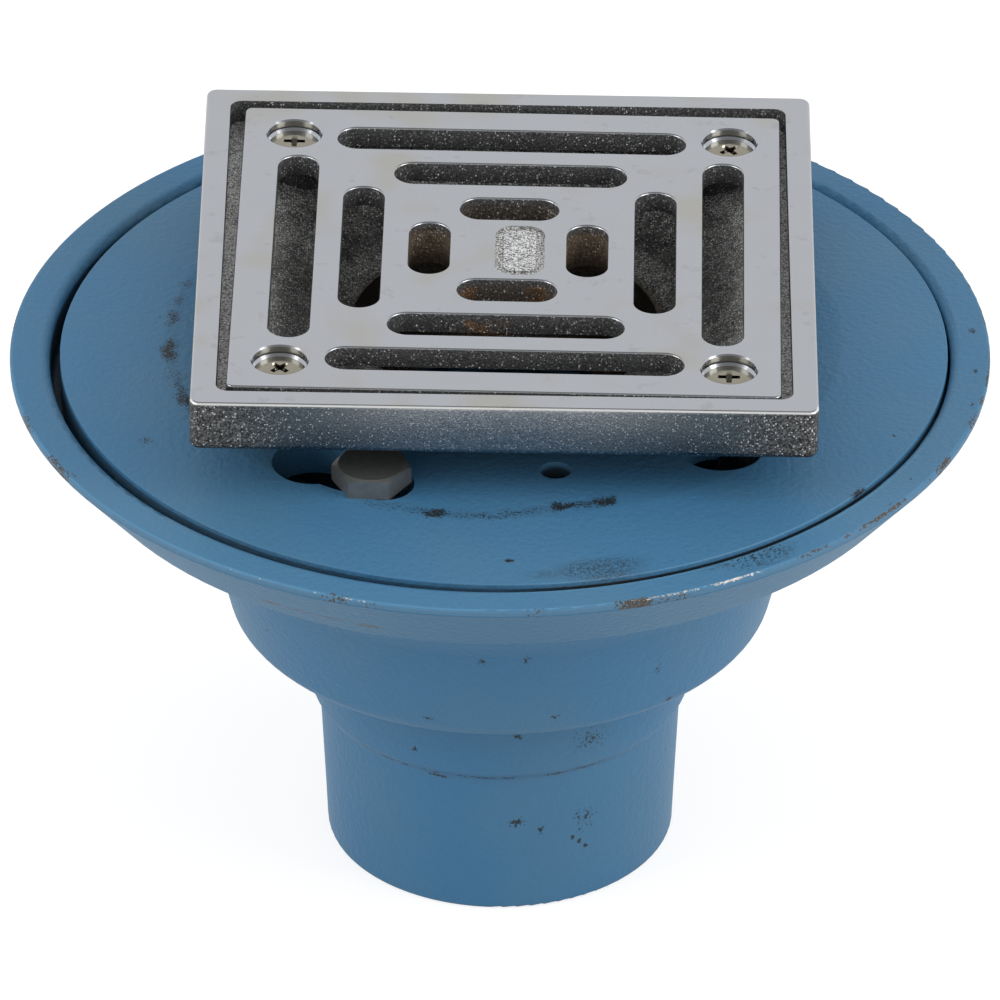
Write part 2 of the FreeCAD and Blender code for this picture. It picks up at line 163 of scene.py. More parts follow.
face_scratches = [
    (-29.4, 3.0, 105.2, 1.1, 1.0), (-25.6, 3.4, 105.3, 0.8, 0.9), (-21.4, 3.8, 105.2, 0.75, 0.9),
    (-16.4, 2.4, 104.6, 1.3, 1.2)]

# Grains and specks of dirt.
grain_gain = 0.42
grain_cover = (0.66, 0.86)
grain_onset = (0.02, 0.12)
speck_edge = (0.05, -0.12)
spot_edge = 0.4


class Look:
    """One node material under construction. Values are sockets or plain numbers."""

    def __init__(self, name, axis=None):
        self.material = bpy.data.materials.new(name)
        self.material.use_nodes = True
        self.nodes = self.material.node_tree.nodes
        self.links = self.material.node_tree.links
        self.shader = self.nodes["Principled BSDF"]
        coordinates = self.add("ShaderNodeTexCoord")
        self.place = self.vector("MULTIPLY", coordinates.outputs["Object"], (MM_PER_METRE,) * 3)
        self.x, self.y, self.z = self.parts(self.place)
        self.upward = self.parts(coordinates.outputs["Normal"])[2]
        if axis:
            self.radius, self.bearing = self.around(axis)

    def add(self, kind, **settings):
        node = self.nodes.new(kind)
        for setting, value in settings.items():
            setattr(node, setting, value)
        return node

    def feed(self, socket, value):
        if isinstance(value, bpy.types.NodeSocket):
            self.links.new(value, socket)
        else:
            socket.default_value = value

    def math(self, operation, first, second=0.0, third=0.0):
        node = self.add("ShaderNodeMath", operation=operation)
        for socket, value in zip(node.inputs, (first, second, third)):
            self.feed(socket, value)
        return node.outputs[0]

    def vector(self, operation, *values):
        node = self.add("ShaderNodeVectorMath", operation=operation)
        for socket, value in zip(node.inputs, values):
            self.feed(socket, value)
        return node.outputs["Value" if operation in ("DOT_PRODUCT", "LENGTH") else "Vector"]

    def parts(self, vector):
        node = self.add("ShaderNodeSeparateXYZ")
        self.links.new(vector, node.inputs[0])
        return node.outputs

    def plus(self, first, second):
        return self.math("ADD", first, second)

    def minus(self, first, second):
        return self.math("SUBTRACT", first, second)

    def rest(self, mask):
        """What a mask leaves over."""
        return self.minus(1.0, mask)

    def off(self, value, middle):
        """Distance from a middle, to either side."""
        return self.math("ABSOLUTE", self.minus(value, middle))

    def times(self, *values):
        product = values[0]
        for value in values[1:]:
            product = self.math("MULTIPLY", product, value)
        return product

    def most(self, *values):
        highest = values[0]
        for value in values[1:]:
            highest = self.math("MAXIMUM", highest, value)
        return highest

    def rise(self, value, low, high):
        """0 below low, 1 above high, smooth between. With low above high it falls instead."""
        node = self.add("ShaderNodeMapRange", interpolation_type="SMOOTHSTEP")
        falls = low > high
        self.feed(node.inputs["Value"], value)
        self.feed(node.inputs["From Min"], min(low, high))
        self.feed(node.inputs["From Max"], max(low, high))
        self.feed(node.inputs["To Min"], 1.0 if falls else 0.0)
        self.feed(node.inputs["To Max"], 0.0 if falls else 1.0)
        return node.outputs["Result"]

    def near(self, value, middle, reach):
        """1 at the middle, 0 at the reach and beyond."""
        return self.rise(self.off(value, middle), reach, 0.0)

    def along(self, stops):
        """Strength read from (bearing, strength) stops, straight lines between them."""
        node = self.add("ShaderNodeValToRGB")
        elements = node.color_ramp.elements
        elements.remove(elements[-1])
        low, high = bearing_span
        for index, (stop, strength) in enumerate(stops):
            position = (stop - low) / (high - low)
            element = elements[0] if index == 0 else elements.new(position)
            element.position = position
            element.color = (strength, strength, strength, 1.0)
        span = self.add("ShaderNodeMapRange")
        self.feed(span.inputs["Value"], self.bearing)
        self.feed(span.inputs["From Min"], low)
        self.feed(span.inputs["From Max"], high)
        self.links.new(span.outputs["Result"], node.inputs["Fac"])
        return node.outputs["Color"]

    def patches(self, level, table):
        """Strength of the strongest patch, falling to 0 at its reach."""
        here = self.add("ShaderNodeCombineXYZ")
        self.feed(here.inputs[0], self.bearing)
        self.feed(here.inputs[1], level)
        strongest = 0.0
        for bearing, turn, middle, reach, strength in table:
            scale = (1 / turn, 1 / reach, 0.0)
            shift = (-bearing / turn, -middle / reach, 0.0)
            aside = self.vector("MULTIPLY_ADD", here.outputs[0], scale, shift)
            distance = self.vector("LENGTH", aside)
            patch = self.math("MULTIPLY_ADD", distance, -strength, strength)
            strongest = self.most(strongest, patch)
        return strongest

    def noise(self, size, detail=2.0, roughness=0.5):
        node = self.add("ShaderNodeTexNoise")
        self.feed(node.inputs["Vector"], self.place)
        self.feed(node.inputs["Scale"], 1.0 / size)
        self.feed(node.inputs["Detail"], detail)
        self.feed(node.inputs["Roughness"], roughness)
        return node.outputs[0]

    def ragged(self, noise, reach):
        """An uneven shift to either side."""
        return self.times(self.minus(self.noise(*noise), NOISE_MIDDLE), reach)

    def cells(self, size):
        """Distance to the nearest cell's point in millimetres, and that cell's random number."""
        node = self.add("ShaderNodeTexVoronoi")
        self.feed(node.inputs["Vector"], self.place)
        self.feed(node.inputs["Scale"], 1.0 / size)
        channels = self.add("ShaderNodeSeparateColor")
        self.links.new(node.outputs["Color"], channels.inputs[0])
        return self.times(node.outputs["Distance"], size), channels.outputs[0]

    def specks(self, size, share, radius):
        """Round specks in a share of the cells, of up to the given radius."""
        distance, chance = self.cells(size)
        reach = self.times(self.rise(chance, 1.0 - share, 1.0), radius)
        return self.rise(self.minus(distance, reach), *speck_edge)

    def grains(self, strength, noise):
        """Grains that close up to a solid patch as the strength nears 1, none where it is 0."""
        cover = self.rise(self.plus(noise, self.times(strength, grain_gain)), *grain_cover)
        return self.times(cover, self.rise(strength, *grain_onset))

    def spot(self, place, reach, edge=spot_edge):
        """1 within the reach of a vertical line, 0 past its edge."""
        shift = (-place[0], -place[1], 0.0)
        aside = self.vector("MULTIPLY_ADD", self.place, (1.0, 1.0, 0.0), shift)
        return self.rise(self.vector("LENGTH", aside), reach + edge, reach)

    def scaled(self, colour, factor):
        node = self.add("ShaderNodeVectorMath", operation="SCALE")
        self.feed(node.inputs["Vector"], colour)
        self.feed(node.inputs["Scale"], factor)
        return node.outputs["Vector"]

    def mix(self, factor, first, second):
        node = self.add("ShaderNodeMix", data_type="FLOAT")
        for index, value in zip(MIX_NUMBER_SOCKETS, (factor, first, second)):
            self.feed(node.inputs[index], value)
        return node.outputs[0]

    def blend(self, factor, first, second):
        node = self.add("ShaderNodeMix", data_type="RGBA")
        for index, value in zip(MIX_COLOUR_SOCKETS, (factor, first, second)):
            self.feed(node.inputs[index], value)
        return node.outputs[MIX_COLOUR_RESULT]

    def bump(self, height, depth, where=1.0, below=None):
        """Relief of a height from 0 to 1, depth in millimetres, as strong as where says."""
        node = self.add("ShaderNodeBump")
        self.feed(node.inputs["Height"], height)
        self.feed(node.inputs["Strength"], where)
        node.inputs["Distance"].default_value = depth / MM_PER_METRE
        if below:
            self.links.new(below, node.inputs["Normal"])
        return node.outputs[0]

    def around(self, axis):
        """Radius and bearing about a vertical axis."""
        aside = self.minus(self.x, axis[0])
        ahead = self.minus(axis[1], self.y)
        squares = self.plus(self.times(aside, aside), self.times(ahead, ahead))
        turn = self.math("ARCTAN2", aside, ahead)
        return self.math("SQRT", squares), self.math("DEGREES", turn)

    def thread(self, level, seat, below):
        """Thread ridges over a relief, on the cylinder between two radii and below a level."""
        inner, outer, top = seat
        pitches = self.times(level, 1.0 / thread_pitch)
        turns = self.plus(pitches, self.times(self.bearing, 1.0 / FULL_TURN))
        ridge = self.math("PINGPONG", turns, thread_crest)
        where = self.times(
            self.rise(self.radius, inner, inner + thread_margin),
            self.rise(self.radius, outer, outer - thread_margin))
        where = self.times(where, self.rise(level, top, top - thread_runout))
        return self.bump(ridge, thread_depth, where, below)

    def finish(self, colour, roughness, metallic, normal):
        for name, value in (("Base Color", colour), ("Roughness", roughness),
                            ("Metallic", metallic), ("Normal", normal)):
            self.feed(self.shader.inputs[name], value)
        return self.material


# Paint on both castings.
paint_cloud = (34.0, 1.0)
paint_grain = (0.5, 1.0)
paint_bumps = (1.4, 1.0, 0.7)
paint_bump_depth = 0.20
cloud_turns_grey = (0.35, 0.70)
grain_shades = (0.90, 1.10)
fine_speck_grain = (0.74, 0.80)
fine_speck_cloud = (0.40, 0.62)
fine_speck_strength = 0.50
speck_cell, speck_share, speck_radius = 7.0, 0.35, 0.42
speck_strength = 0.65
painted_light_strength = 0.6
dirt_and_shade_strength = 0.95
bare_metal = 0.85
paint_roughness = (0.42, 0.58)
paint_specular = 0.25
scuff_onset = (0.0, 0.6)


def painted(look, thread_seat, dirt_and_shade, rust, bare, painted_light, painted_shade=0.0, fillet_light=0.0):
    """Blue paint over cast iron.

    The masks say where dirt with painted shade, rust or bare iron shows, where painted light lifts
    the paint, where painted shade darkens it, and where painted light lifts the rim's outer
    fillet.
    """
    cloud = look.noise(*paint_cloud)
    grain = look.noise(*paint_grain)
    colour = look.blend(look.rise(cloud, *cloud_turns_grey), paint_blue, paint_grey_blue)
    colour = look.scaled(colour, look.mix(grain, *grain_shades))
    # Painted light and painted shade are blended into the blue.
    colour = look.blend(fillet_light, look.blend(painted_shade, colour, paint_shaded), paint_fillet_lit)
    colour = look.blend(look.times(painted_light, painted_light_strength), colour, paint_lit)
    fine = look.times(look.rise(grain, *fine_speck_grain), look.rise(cloud, *fine_speck_cloud))
    colour = look.blend(look.times(fine, fine_speck_strength), colour, dirt_and_shade_black)
    specks = look.specks(speck_cell, speck_share, speck_radius)
    colour = look.blend(look.times(specks, speck_strength), colour, dirt_and_shade_black)
    # Dirt and painted shade, in near-black.
    colour = look.blend(look.times(dirt_and_shade, dirt_and_shade_strength), colour, dirt_and_shade_black)
    colour = look.blend(rust, colour, look.blend(grain, rust_brown, dirt_and_shade_black))
    colour = look.blend(bare, colour, look.blend(grain, bare_dark, bare_light))
    look.feed(look.shader.inputs["Specular IOR Level"], paint_specular)
    roughness = look.mix(grain, *paint_roughness)
    relief = look.bump(look.noise(*paint_bumps), paint_bump_depth)
    relief = look.thread(look.z, thread_seat, relief)
    return look.finish(colour, roughness, look.times(bare, bare_metal), relief)


# Body: dirt on the rim and the sides, and painted shade in the neck's crease and in the gap around
# the collar.
body_speckle = (0.60, 1.0, 0.65)
body_blotch = (6.0, 1.0)
body_ragged, body_ragged_reach = (1.6, 1.0), 1.6
rim_top_levels = (115.2, 115.8)
crease_level, crease_reach = 34.4, 0.9
crease_blotches = (0.45, 0.70)
crease_strength = 0.8
gap_radii = (94.0, 93.5)
gap_top_levels = (115.0, 113.5)
gap_floor_levels = (106.2, 106.6)
gap_strength = 0.8
rim_scuff_grain = (0.42, 0.62)
rim_scuff_strength = 0.66

# Body: bare iron and rust along the rim's outer edge, scratches on its face.
rim_edge_radii = (100.85, 101.05)
bare_slope, bare_slope_reach = 0.70, 0.38
dull_slope, dull_slope_reach = 0.60, 0.50
dull_blotches = (0.45, 0.60)
light_front_middle = -25.0
light_front_reaches = (75.0, 45.0)
rust_band_radii = (100.5, 101.0)
rust_band_levels = (113.6, 114.6)
rust_band_ragged = 0.5
scratch_ragged = 0.4
scratch_radii = (84.0, 86.0)
scratch_onset = (0.15, 0.75)
scratch_grain = (0.25, 0.55)
scratch_strength = 0.85

# Body: painted light on the rim's edges and front, painted shade on the faces under it, and
# painted light on its outer fillet.
highlight_slope, highlight_slope_reach = 0.80, 0.30
inner_edge_radii = (95.6, 95.0)
inner_edge_levels = (113.4, 114.6)
inner_edge_left = (-8.0, 8.0)
inner_edge_right = (75.0, 55.0)
rim_front_radii = (94.5, 95.5)
rim_front_bearings = (80.0, 50.0)
rim_front_strength = 0.27
under_rim_radii = (82.0, 85.0)
under_rim_slopes = (0.0, -0.1)
fillet_light_slope, fillet_light_slope_reach = 0.18, 0.46


def body_paint():
    look = Look("body_paint", body_axis)
    speckle = look.noise(*body_speckle)
    blotch = look.noise(*body_blotch)
    ragged = look.ragged(body_ragged, body_ragged_reach)
    rim_top = look.rise(look.z, *rim_top_levels)
    outer = look.rise(look.radius, *rim_edge_radii)
    light_front = look.rise(look.off(look.bearing, light_front_middle), *light_front_reaches)

    top = look.times(look.patches(look.radius, rim_patches), rim_top)
    side = look.patches(look.z, side_patches)
    # Painted shade along the neck's crease and in the gap around the collar.
    crease = look.near(look.z, crease_level, crease_reach)
    crease = look.times(crease, look.rise(blotch, *crease_blotches), crease_strength)
    gap = look.times(look.rise(look.radius, *gap_radii), look.rise(look.z, *gap_top_levels))
    gap = look.times(gap, look.rise(look.z, *gap_floor_levels))
    scuff = look.rise(look.patches(look.radius, rim_scuffs), *scuff_onset)
    scuff = look.times(scuff, rim_top)
    scuff = look.times(scuff, look.rise(speckle, *rim_scuff_grain), rim_scuff_strength)
    # Dirt and the painted shade share one mask.
    dirt_and_shade = look.grains(look.most(top, side, crease), speckle)
    dirt_and_shade = look.most(dirt_and_shade, look.times(gap, gap_strength), scuff)

    bare = look.times(outer, look.near(look.upward, bare_slope, bare_slope_reach))
    bare = look.grains(look.times(bare, look.along(edge_bare)), speckle)

    band = look.plus(look.radius, look.times(ragged, rust_band_ragged))
    band = look.times(look.rise(band, *rust_band_radii), look.rise(look.z, *rust_band_levels))
    band = look.times(band, look.along(edge_rust))
    dull = look.times(outer, look.near(look.upward, dull_slope, dull_slope_reach))
    dull = look.times(dull, look.rest(light_front), look.rise(blotch, *dull_blotches))
    streaks = look.times(look.patches(look.radius, rim_streaks), rim_top)
    scratches = look.plus(look.z, look.times(ragged, scratch_ragged))
    scratches = look.patches(scratches, face_scratches)
    scratches = look.times(scratches, look.rise(look.radius, *scratch_radii))
    scratches = look.times(
        look.rise(scratches, *scratch_onset), look.rise(speckle, *scratch_grain), scratch_strength)
    rust = look.most(look.grains(look.most(band, dull, streaks), speckle), scratches)

    # Painted light: a highlight along the rim's outer edge at the front left, a lift on its shaded
    # inner rounding, and the front of its top made lighter.
    outer_edge = look.times(outer, look.near(look.upward, highlight_slope, highlight_slope_reach))
    outer_edge = look.times(outer_edge, light_front)
    inner_edge = look.times(
        look.rise(look.radius, *inner_edge_radii), look.rise(look.z, *inner_edge_levels))
    inner_edge = look.times(
        inner_edge, look.rise(look.bearing, *inner_edge_left),
        look.rise(look.bearing, *inner_edge_right))
    rim_front = look.rise(look.math("ABSOLUTE", look.bearing), *rim_front_bearings)
    rim_front = look.times(rim_top, look.rise(look.radius, *rim_front_radii), rim_front)
    painted_light = look.most(outer_edge, inner_edge, look.times(rim_front, rim_front_strength))

    # Painted shade, darker and bluer, on the downward faces under the rim.
    painted_shade = look.times(
        look.rise(look.radius, *under_rim_radii), look.rise(look.upward, *under_rim_slopes))
    # Painted light that lifts the lower part of the rim's outer fillet.
    fillet_light = look.times(outer, look.near(look.upward, fillet_light_slope, fillet_light_slope_reach))
    return painted(look, outlet_thread, dirt_and_shade, rust, bare, painted_light, painted_shade, fillet_light)


# Collar: a ragged ring of wear, dirt and scuffs on its land.
collar_speckle = (0.50, 1.0, 0.65)
crest_ragged, crest_ragged_reach = (3.2, 1.0), 4.0
crest_left_radius, crest_right_radius = 69.4, 66.8
crest_shift_bearings = (-3.0, 8.5)
crest_reach = 3.0
land_levels = (115.0, 115.6)
smear_strength = 0.45
weep_reach = 3.6
weep_levels = (117.4, 116.0)
weep_strength = 0.8
collar_scuff_grain = (0.38, 0.58)
collar_scuff_strength = 0.60
dirt_rust = (2.5, 1.0)
dirt_rust_blotches = (0.45, 0.65)
dirt_rust_strength = 0.12

# Collar: its outer lip, with painted light on its top and painted shade on its side, most of all
# at the front right.
lip_radii = (91.5, 91.9)
lip_right_starts = (-2.0, 10.0)
lip_right_ends = (62.0, 48.0)
lip_top_levels = (114.9, 115.2)
lip_light_strength = 0.55
lip_side_levels = (115.1, 114.8)
lip_shades = (0.55, 0.98)
lip_rust_radius, lip_rust_reach = 91.4, 1.3
lip_rust_bearing, lip_rust_turn = 14.0, 7.0
lip_rust_grain = (0.36, 0.60)
lip_rust_strength = 0.55


def collar_paint():
    look = Look("collar_paint", collar_axis)
    speckle = look.noise(*collar_speckle)
    ragged = look.ragged(crest_ragged, crest_ragged_reach)
    land = look.rise(look.z, *land_levels)

    crest = look.most(look.along(crest_wear_left), look.along(crest_wear_front))
    crest_shift = look.rise(look.bearing, *crest_shift_bearings)
    crest_radius = look.mix(crest_shift, crest_left_radius, crest_right_radius)
    ring = look.near(look.plus(look.radius, ragged), crest_radius, crest_reach)
    wear = look.most(look.times(ring, crest), look.patches(look.radius, collar_patches))
    wear = look.times(wear, land)
    smear = look.times(wear, wear, smear_strength)
    scuff = look.rise(look.patches(look.radius, collar_scuffs), *scuff_onset)
    scuff = look.times(scuff, land)
    scuff = look.times(scuff, look.rise(speckle, *collar_scuff_grain), collar_scuff_strength)
    # Darker inside the weep hole.
    weep = look.times(
        look.spot(weep_place, weep_reach), look.rise(look.z, *weep_levels), weep_strength)

    # Painted light on top of the lip at the front right, and painted shade on its side down in the
    # gap to the rim.
    edge = look.rise(look.radius, *lip_radii)
    right = look.times(
        look.rise(look.bearing, *lip_right_starts), look.rise(look.bearing, *lip_right_ends))
    painted_light = look.times(edge, right, look.rise(look.z, *lip_top_levels))
    lip_shade = look.times(edge, look.rise(look.z, *lip_side_levels), look.mix(right, *lip_shades))
    lip_rust = look.times(
        look.near(look.radius, lip_rust_radius, lip_rust_reach),
        look.near(look.bearing, lip_rust_bearing, lip_rust_turn),
        look.rise(speckle, *lip_rust_grain), lip_rust_strength)

    # Dirt, with the painted shade on the lip's side.
    dirt_and_shade = look.most(look.grains(wear, speckle), smear, scuff, lip_shade, weep)
    rust = look.rise(look.noise(*dirt_rust), *dirt_rust_blotches)
    rust = look.most(look.times(dirt_and_shade, rust, dirt_rust_strength), lip_rust)
    return painted(look, neck_thread, dirt_and_shade, rust, 0.0, look.times(painted_light, lip_light_strength))


# Plated casting: its pad, its counterbores and where it is polished.
pad_margin = 0.1
pad_sunk_depths = (0.03, 0.08)
pad_floor_depths = (1.0, 0.8)
panel_depths = (0.35, 0.20)
counterbore_reach = 6.4
counterbore_levels = (136.0, 136.5)
polish_slopes = (0.25, 0.60)
polish_levels = (137.4, 138.0)
polish_haze = (11.0, 1.0)
polish_roughness = (0.15, 0.23)
stain_noise = (17.0, 1.0, 0.6)
stain_onset = (0.54, 0.74)
stain_strength = 0.6
cast_blotch = (5.0, 2.0, 0.65)
smudge_onset = (0.60, 0.75)
smudge_strength = 0.35
front_edge_levels = (139.1, 139.3)
front_edge_places = (-60.5, -61.5)
front_edge_slopes = (0.95, 0.80)
front_edge_highlight_strength = 0.75

# Plated casting: its outside faces, its inside, and brown and rust in its openings.
frame_inside = (59.5, 58.5)
face_reflects_blue = (12.0, 44.0)
face_ends = (40.0, 60.0)
groove_slopes = (0.7, 0.9)
groove_depths = (0.4, 0.2)
wall_slopes = (0.45, 0.20)
wall_levels = (135.5, 138.8)
dim_radius, dim_reach = 40.5, 5.5
dim_shades = (1.05, 0.62)
cloud_blotches = (0.36, 0.64)
cloud_shades = (0.70, 1.30)
hole_margin = 0.6
hole_levels = (138.9, 136.8)
hole_sides = (6.0, 13.0)
hole_strengths = (0.45, 1.0)
throat_levels = (133.5, 130.5)
throat_radii = (33.4, 31.4)
rust_places = (((-4.0, -26.0), 7.0), ((-7.0, -12.0), 3.0), ((7.0, -12.2), 3.0))
rust_core, rust_fade = 0.4, 0.6
slot_rust_levels = (138.4, 137.0)
slot_rust_blotches = (0.35, 0.60)
slot_rust_strength = 0.8

# Plated casting: grit, painted glints, and the finish of its faces.
cast_grit = (0.40, 1.0, 0.75)
grit_onset = (0.32, 0.68)
grit_middle = 0.45
grit_gain = 2.0
grit_contrasts = (0.24, 0.85)
wall_contrast = 0.50
grit_heights = (0.24, 1.0)
grit_depth = 0.10
glint_cell = 0.46
glint_chances = (0.84, 0.98)
glint_radii = (0.24, 0.07)
floor_crowds = (0.24, -0.05)
corner_radii = (49.0, 55.0)
corner_crowd = 0.46
groove_crowd = 0.38
outside_crowd = 0.06
outside_glints = (0.42, 0.75)
peak_onset = (0.66, 0.75)
peak_strengths = (0.8, 0.30)
cast_roughness = (0.24, 0.48)
metal_shares = (1.0, 0.12)
inside_softness = 0.5
end_softness = 0.2
front_edge_softness = 0.6


def below(level, depths):
    """Levels at depths below another."""
    return [level - depth for depth in depths]


def plated_casting():
    look = Look("plated_casting", head_axis)
    level = look.vector("DOT_PRODUCT", look.place, head_lean)
    from_middle = look.off(look.x, head_axis[0])
    from_side = look.off(look.y, head_axis[1])
    haze = look.noise(*polish_haze)
    blotch = look.noise(*cast_blotch)
    grit = look.noise(*cast_grit)

    # Pad, counterbores and polished faces.
    pad = look.times(*[
        look.rise(look.off(here, centre), half + pad_margin, half)
        for here, centre, half in zip((look.x, look.y), pad_centre, pad_half)])
    pad = look.times(
        pad, look.rise(level, *below(grate_top, pad_sunk_depths)),
        look.rise(level, *below(grate_top, pad_floor_depths)))
    counterbore = look.most(*[look.spot(place, counterbore_reach) for place in screw_places])
    counterbore = look.times(counterbore, look.rise(level, *counterbore_levels))
    polished = look.times(look.rise(look.upward, *polish_slopes), look.rise(level, *polish_levels))
    polished = look.times(look.most(polished, counterbore), look.rest(pad))

    # Polish, with stains, smudges and a painted highlight along the front edge.
    stain = look.times(look.rise(look.noise(*stain_noise), *stain_onset), stain_strength)
    smudge = look.times(look.rise(blotch, *smudge_onset), smudge_strength)
    smooth = look.blend(stain, look.blend(haze, polish_cool, polish_pale), polish_stain)
    smooth = look.blend(smudge, smooth, polish_smudge)
    edge = look.times(
        look.rise(level, *front_edge_levels), look.rise(look.y, *front_edge_places),
        look.rise(look.upward, *front_edge_slopes))
    smooth = look.blend(look.times(edge, front_edge_highlight_strength), smooth, cast_glint)

    # Outside faces: a painted blue reflection and shade away from their middle, and rough at their
    # ends.
    within = look.rise(look.most(from_middle, from_side), *frame_inside)
    outside = look.rest(within)
    ends = look.times(look.rise(from_middle, *face_ends), outside)
    dull = look.most(ends, within)
    rough = look.blend(look.rise(from_middle, *face_reflects_blue), cast_smooth, cast_blue_reflection)
    rough = look.blend(ends, rough, cast_rough)

    # Inside: walls in painted shade, painted lighter towards their top, cloudy floors and the
    # groove around the grate.
    groove = look.times(
        look.rise(look.upward, *groove_slopes), look.rise(level, *below(ledge, groove_depths)),
        within)
    upright = look.times(look.rise(look.upward, *wall_slopes), within)
    wall = look.blend(look.rise(level, *wall_levels), cast_wall_shaded, cast_wall_lit_top)
    dim = look.near(look.radius, dim_radius, dim_reach)
    cloudy = look.mix(look.rise(blotch, *cloud_blotches), *cloud_shades)
    cloudy = look.times(cloudy, look.mix(dim, *dim_shades))
    inside = look.blend(upright, look.scaled(cast_inside, cloudy), wall)
    rough = look.blend(within, rough, look.blend(groove, inside, cast_groove))

    # Pad, centre holes, rust in the slots and the throat.
    panel = look.rise(level, *below(grate_top, panel_depths))
    rough = look.blend(pad, rough, look.blend(panel, pad_floor, pad_panel))
    hole = look.times(
        look.rise(look.radius, boss_radius + hole_margin, boss_radius),
        look.rise(level, *hole_levels))
    hole = look.times(
        hole, look.mix(look.rise(from_middle, *hole_sides), *hole_strengths), look.rest(pad))
    rough = look.blend(hole, rough, hole_brown)
    rust = look.most(*[
        look.spot(place, reach * rust_core, reach * rust_fade) for place, reach in rust_places])
    rust = look.times(
        rust, look.rise(level, *slot_rust_levels), look.rise(blotch, *slot_rust_blotches))
    rough = look.blend(look.times(rust, slot_rust_strength), rough, slot_rust)
    throat = look.times(look.rise(level, *throat_levels), look.rise(look.radius, *throat_radii))
    rough = look.blend(throat, rough, throat_brown)

    # Dark and light grit, and glints painted as near-white grains.
    contrast = look.mix(upright, look.mix(dull, *grit_contrasts), wall_contrast)
    swing = look.minus(look.rise(grit, *grit_onset), grit_middle)
    rough = look.scaled(rough, look.plus(look.times(swing, contrast, grit_gain), 1.0))
    distance, chance = look.cells(glint_cell)
    floors = look.times(within, look.rest(upright))
    corners = look.times(look.rise(look.radius, *corner_radii), floors)
    crowd = look.most(
        look.times(floors, look.mix(dim, *floor_crowds)), look.times(corners, corner_crowd),
        look.times(groove, groove_crowd))
    crowd = look.plus(crowd, look.times(outside, outside_crowd))
    glint = look.times(
        look.rise(look.plus(chance, crowd), *glint_chances), look.rise(distance, *glint_radii))
    glint = look.times(glint, look.mix(outside, 1.0, look.mix(ends, *outside_glints)))
    peaks = look.times(look.rise(grit, *peak_onset), look.mix(outside, *peak_strengths))
    glint = look.times(look.most(glint, peaks), look.rest(throat))
    rough = look.blend(glint, rough, cast_glint)

    colour = look.blend(polished, rough, smooth)
    roughness = look.mix(
        polished, look.mix(dull, *cast_roughness), look.mix(haze, *polish_roughness))
    soft = look.most(
        look.times(within, inside_softness), look.times(ends, end_softness), hole, throat, glint)
    soft = look.times(soft, look.rest(polished))
    metallic = look.mix(look.most(soft, look.times(edge, front_edge_softness)), *metal_shares)
    uneven = look.times(look.rest(polished), look.mix(dull, *grit_heights))
    relief = look.thread(level, shank_thread, look.bump(grit, grit_depth, uneven))
    return look.finish(colour, roughness, metallic, relief)


# Bolts.
bolt_grain = (1.4, 3.0)
bolt_roughness = (0.30, 0.44)
bolt_metal = (0.65, 0.85)
bolt_bump, bolt_bump_depth = 0.5, 0.04


def bolt_steel():
    look = Look("bolt_steel")
    grain = look.noise(*bolt_grain)
    colour = look.blend(grain, bolt_dark, bolt_pale)
    relief = look.bump(look.noise(bolt_bump), bolt_bump_depth)
    return look.finish(
        colour, look.mix(grain, *bolt_roughness), look.mix(grain, *bolt_metal), relief)


# Screws, darker in their cross recesses.
screw_grain = (0.8, 3.0)
screw_roughness = (0.14, 0.22)
screw_bump, screw_bump_depth = 0.4, 0.015
recess_reach, recess_edge = 2.3, 0.2
recess_levels = (137.4, 136.9)
recess_strength = 0.8


def screw_nickel():
    look = Look("screw_nickel")
    grain = look.noise(*screw_grain)
    level = look.vector("DOT_PRODUCT", look.place, head_lean)
    recess = look.most(*[look.spot(place, recess_reach, recess_edge) for place in screw_places])
    recess = look.times(recess, look.rise(level, *recess_levels))
    colour = look.blend(grain, nickel_dark, nickel_pale)
    colour = look.blend(look.times(recess, recess_strength), colour, dirt_and_shade_black)
    relief = look.bump(look.noise(screw_bump), screw_bump_depth)
    return look.finish(colour, look.mix(grain, *screw_roughness), 1.0, relief)


def dress(node, material):
    piece = bpy.data.objects[node]
    piece.data.materials.clear()
    piece.data.materials.append(material)


def white_seen(tree, lighting, seen):
    """Joins two shaders: one for light on the object, one for what the eye and metal see."""
    paths = tree.nodes.new("ShaderNodeLightPath")
    sight = paths.outputs["Is Camera Ray"]
    for ray in ("Is Glossy Ray", "Is Transmission Ray"):
        either = tree.nodes.new("ShaderNodeMath")
        either.operation = "MAXIMUM"
        tree.links.new(sight, either.inputs[0])
        tree.links.new(paths.outputs[ray], either.inputs[1])
        sight = either.outputs[0]
    joined = tree.nodes.new("ShaderNodeMixShader")
    tree.links.new(sight, joined.inputs[0])
    tree.links.new(lighting.outputs[0], joined.inputs[1])
    tree.links.new(seen.outputs[0], joined.inputs[2])
    return joined.outputs[0]


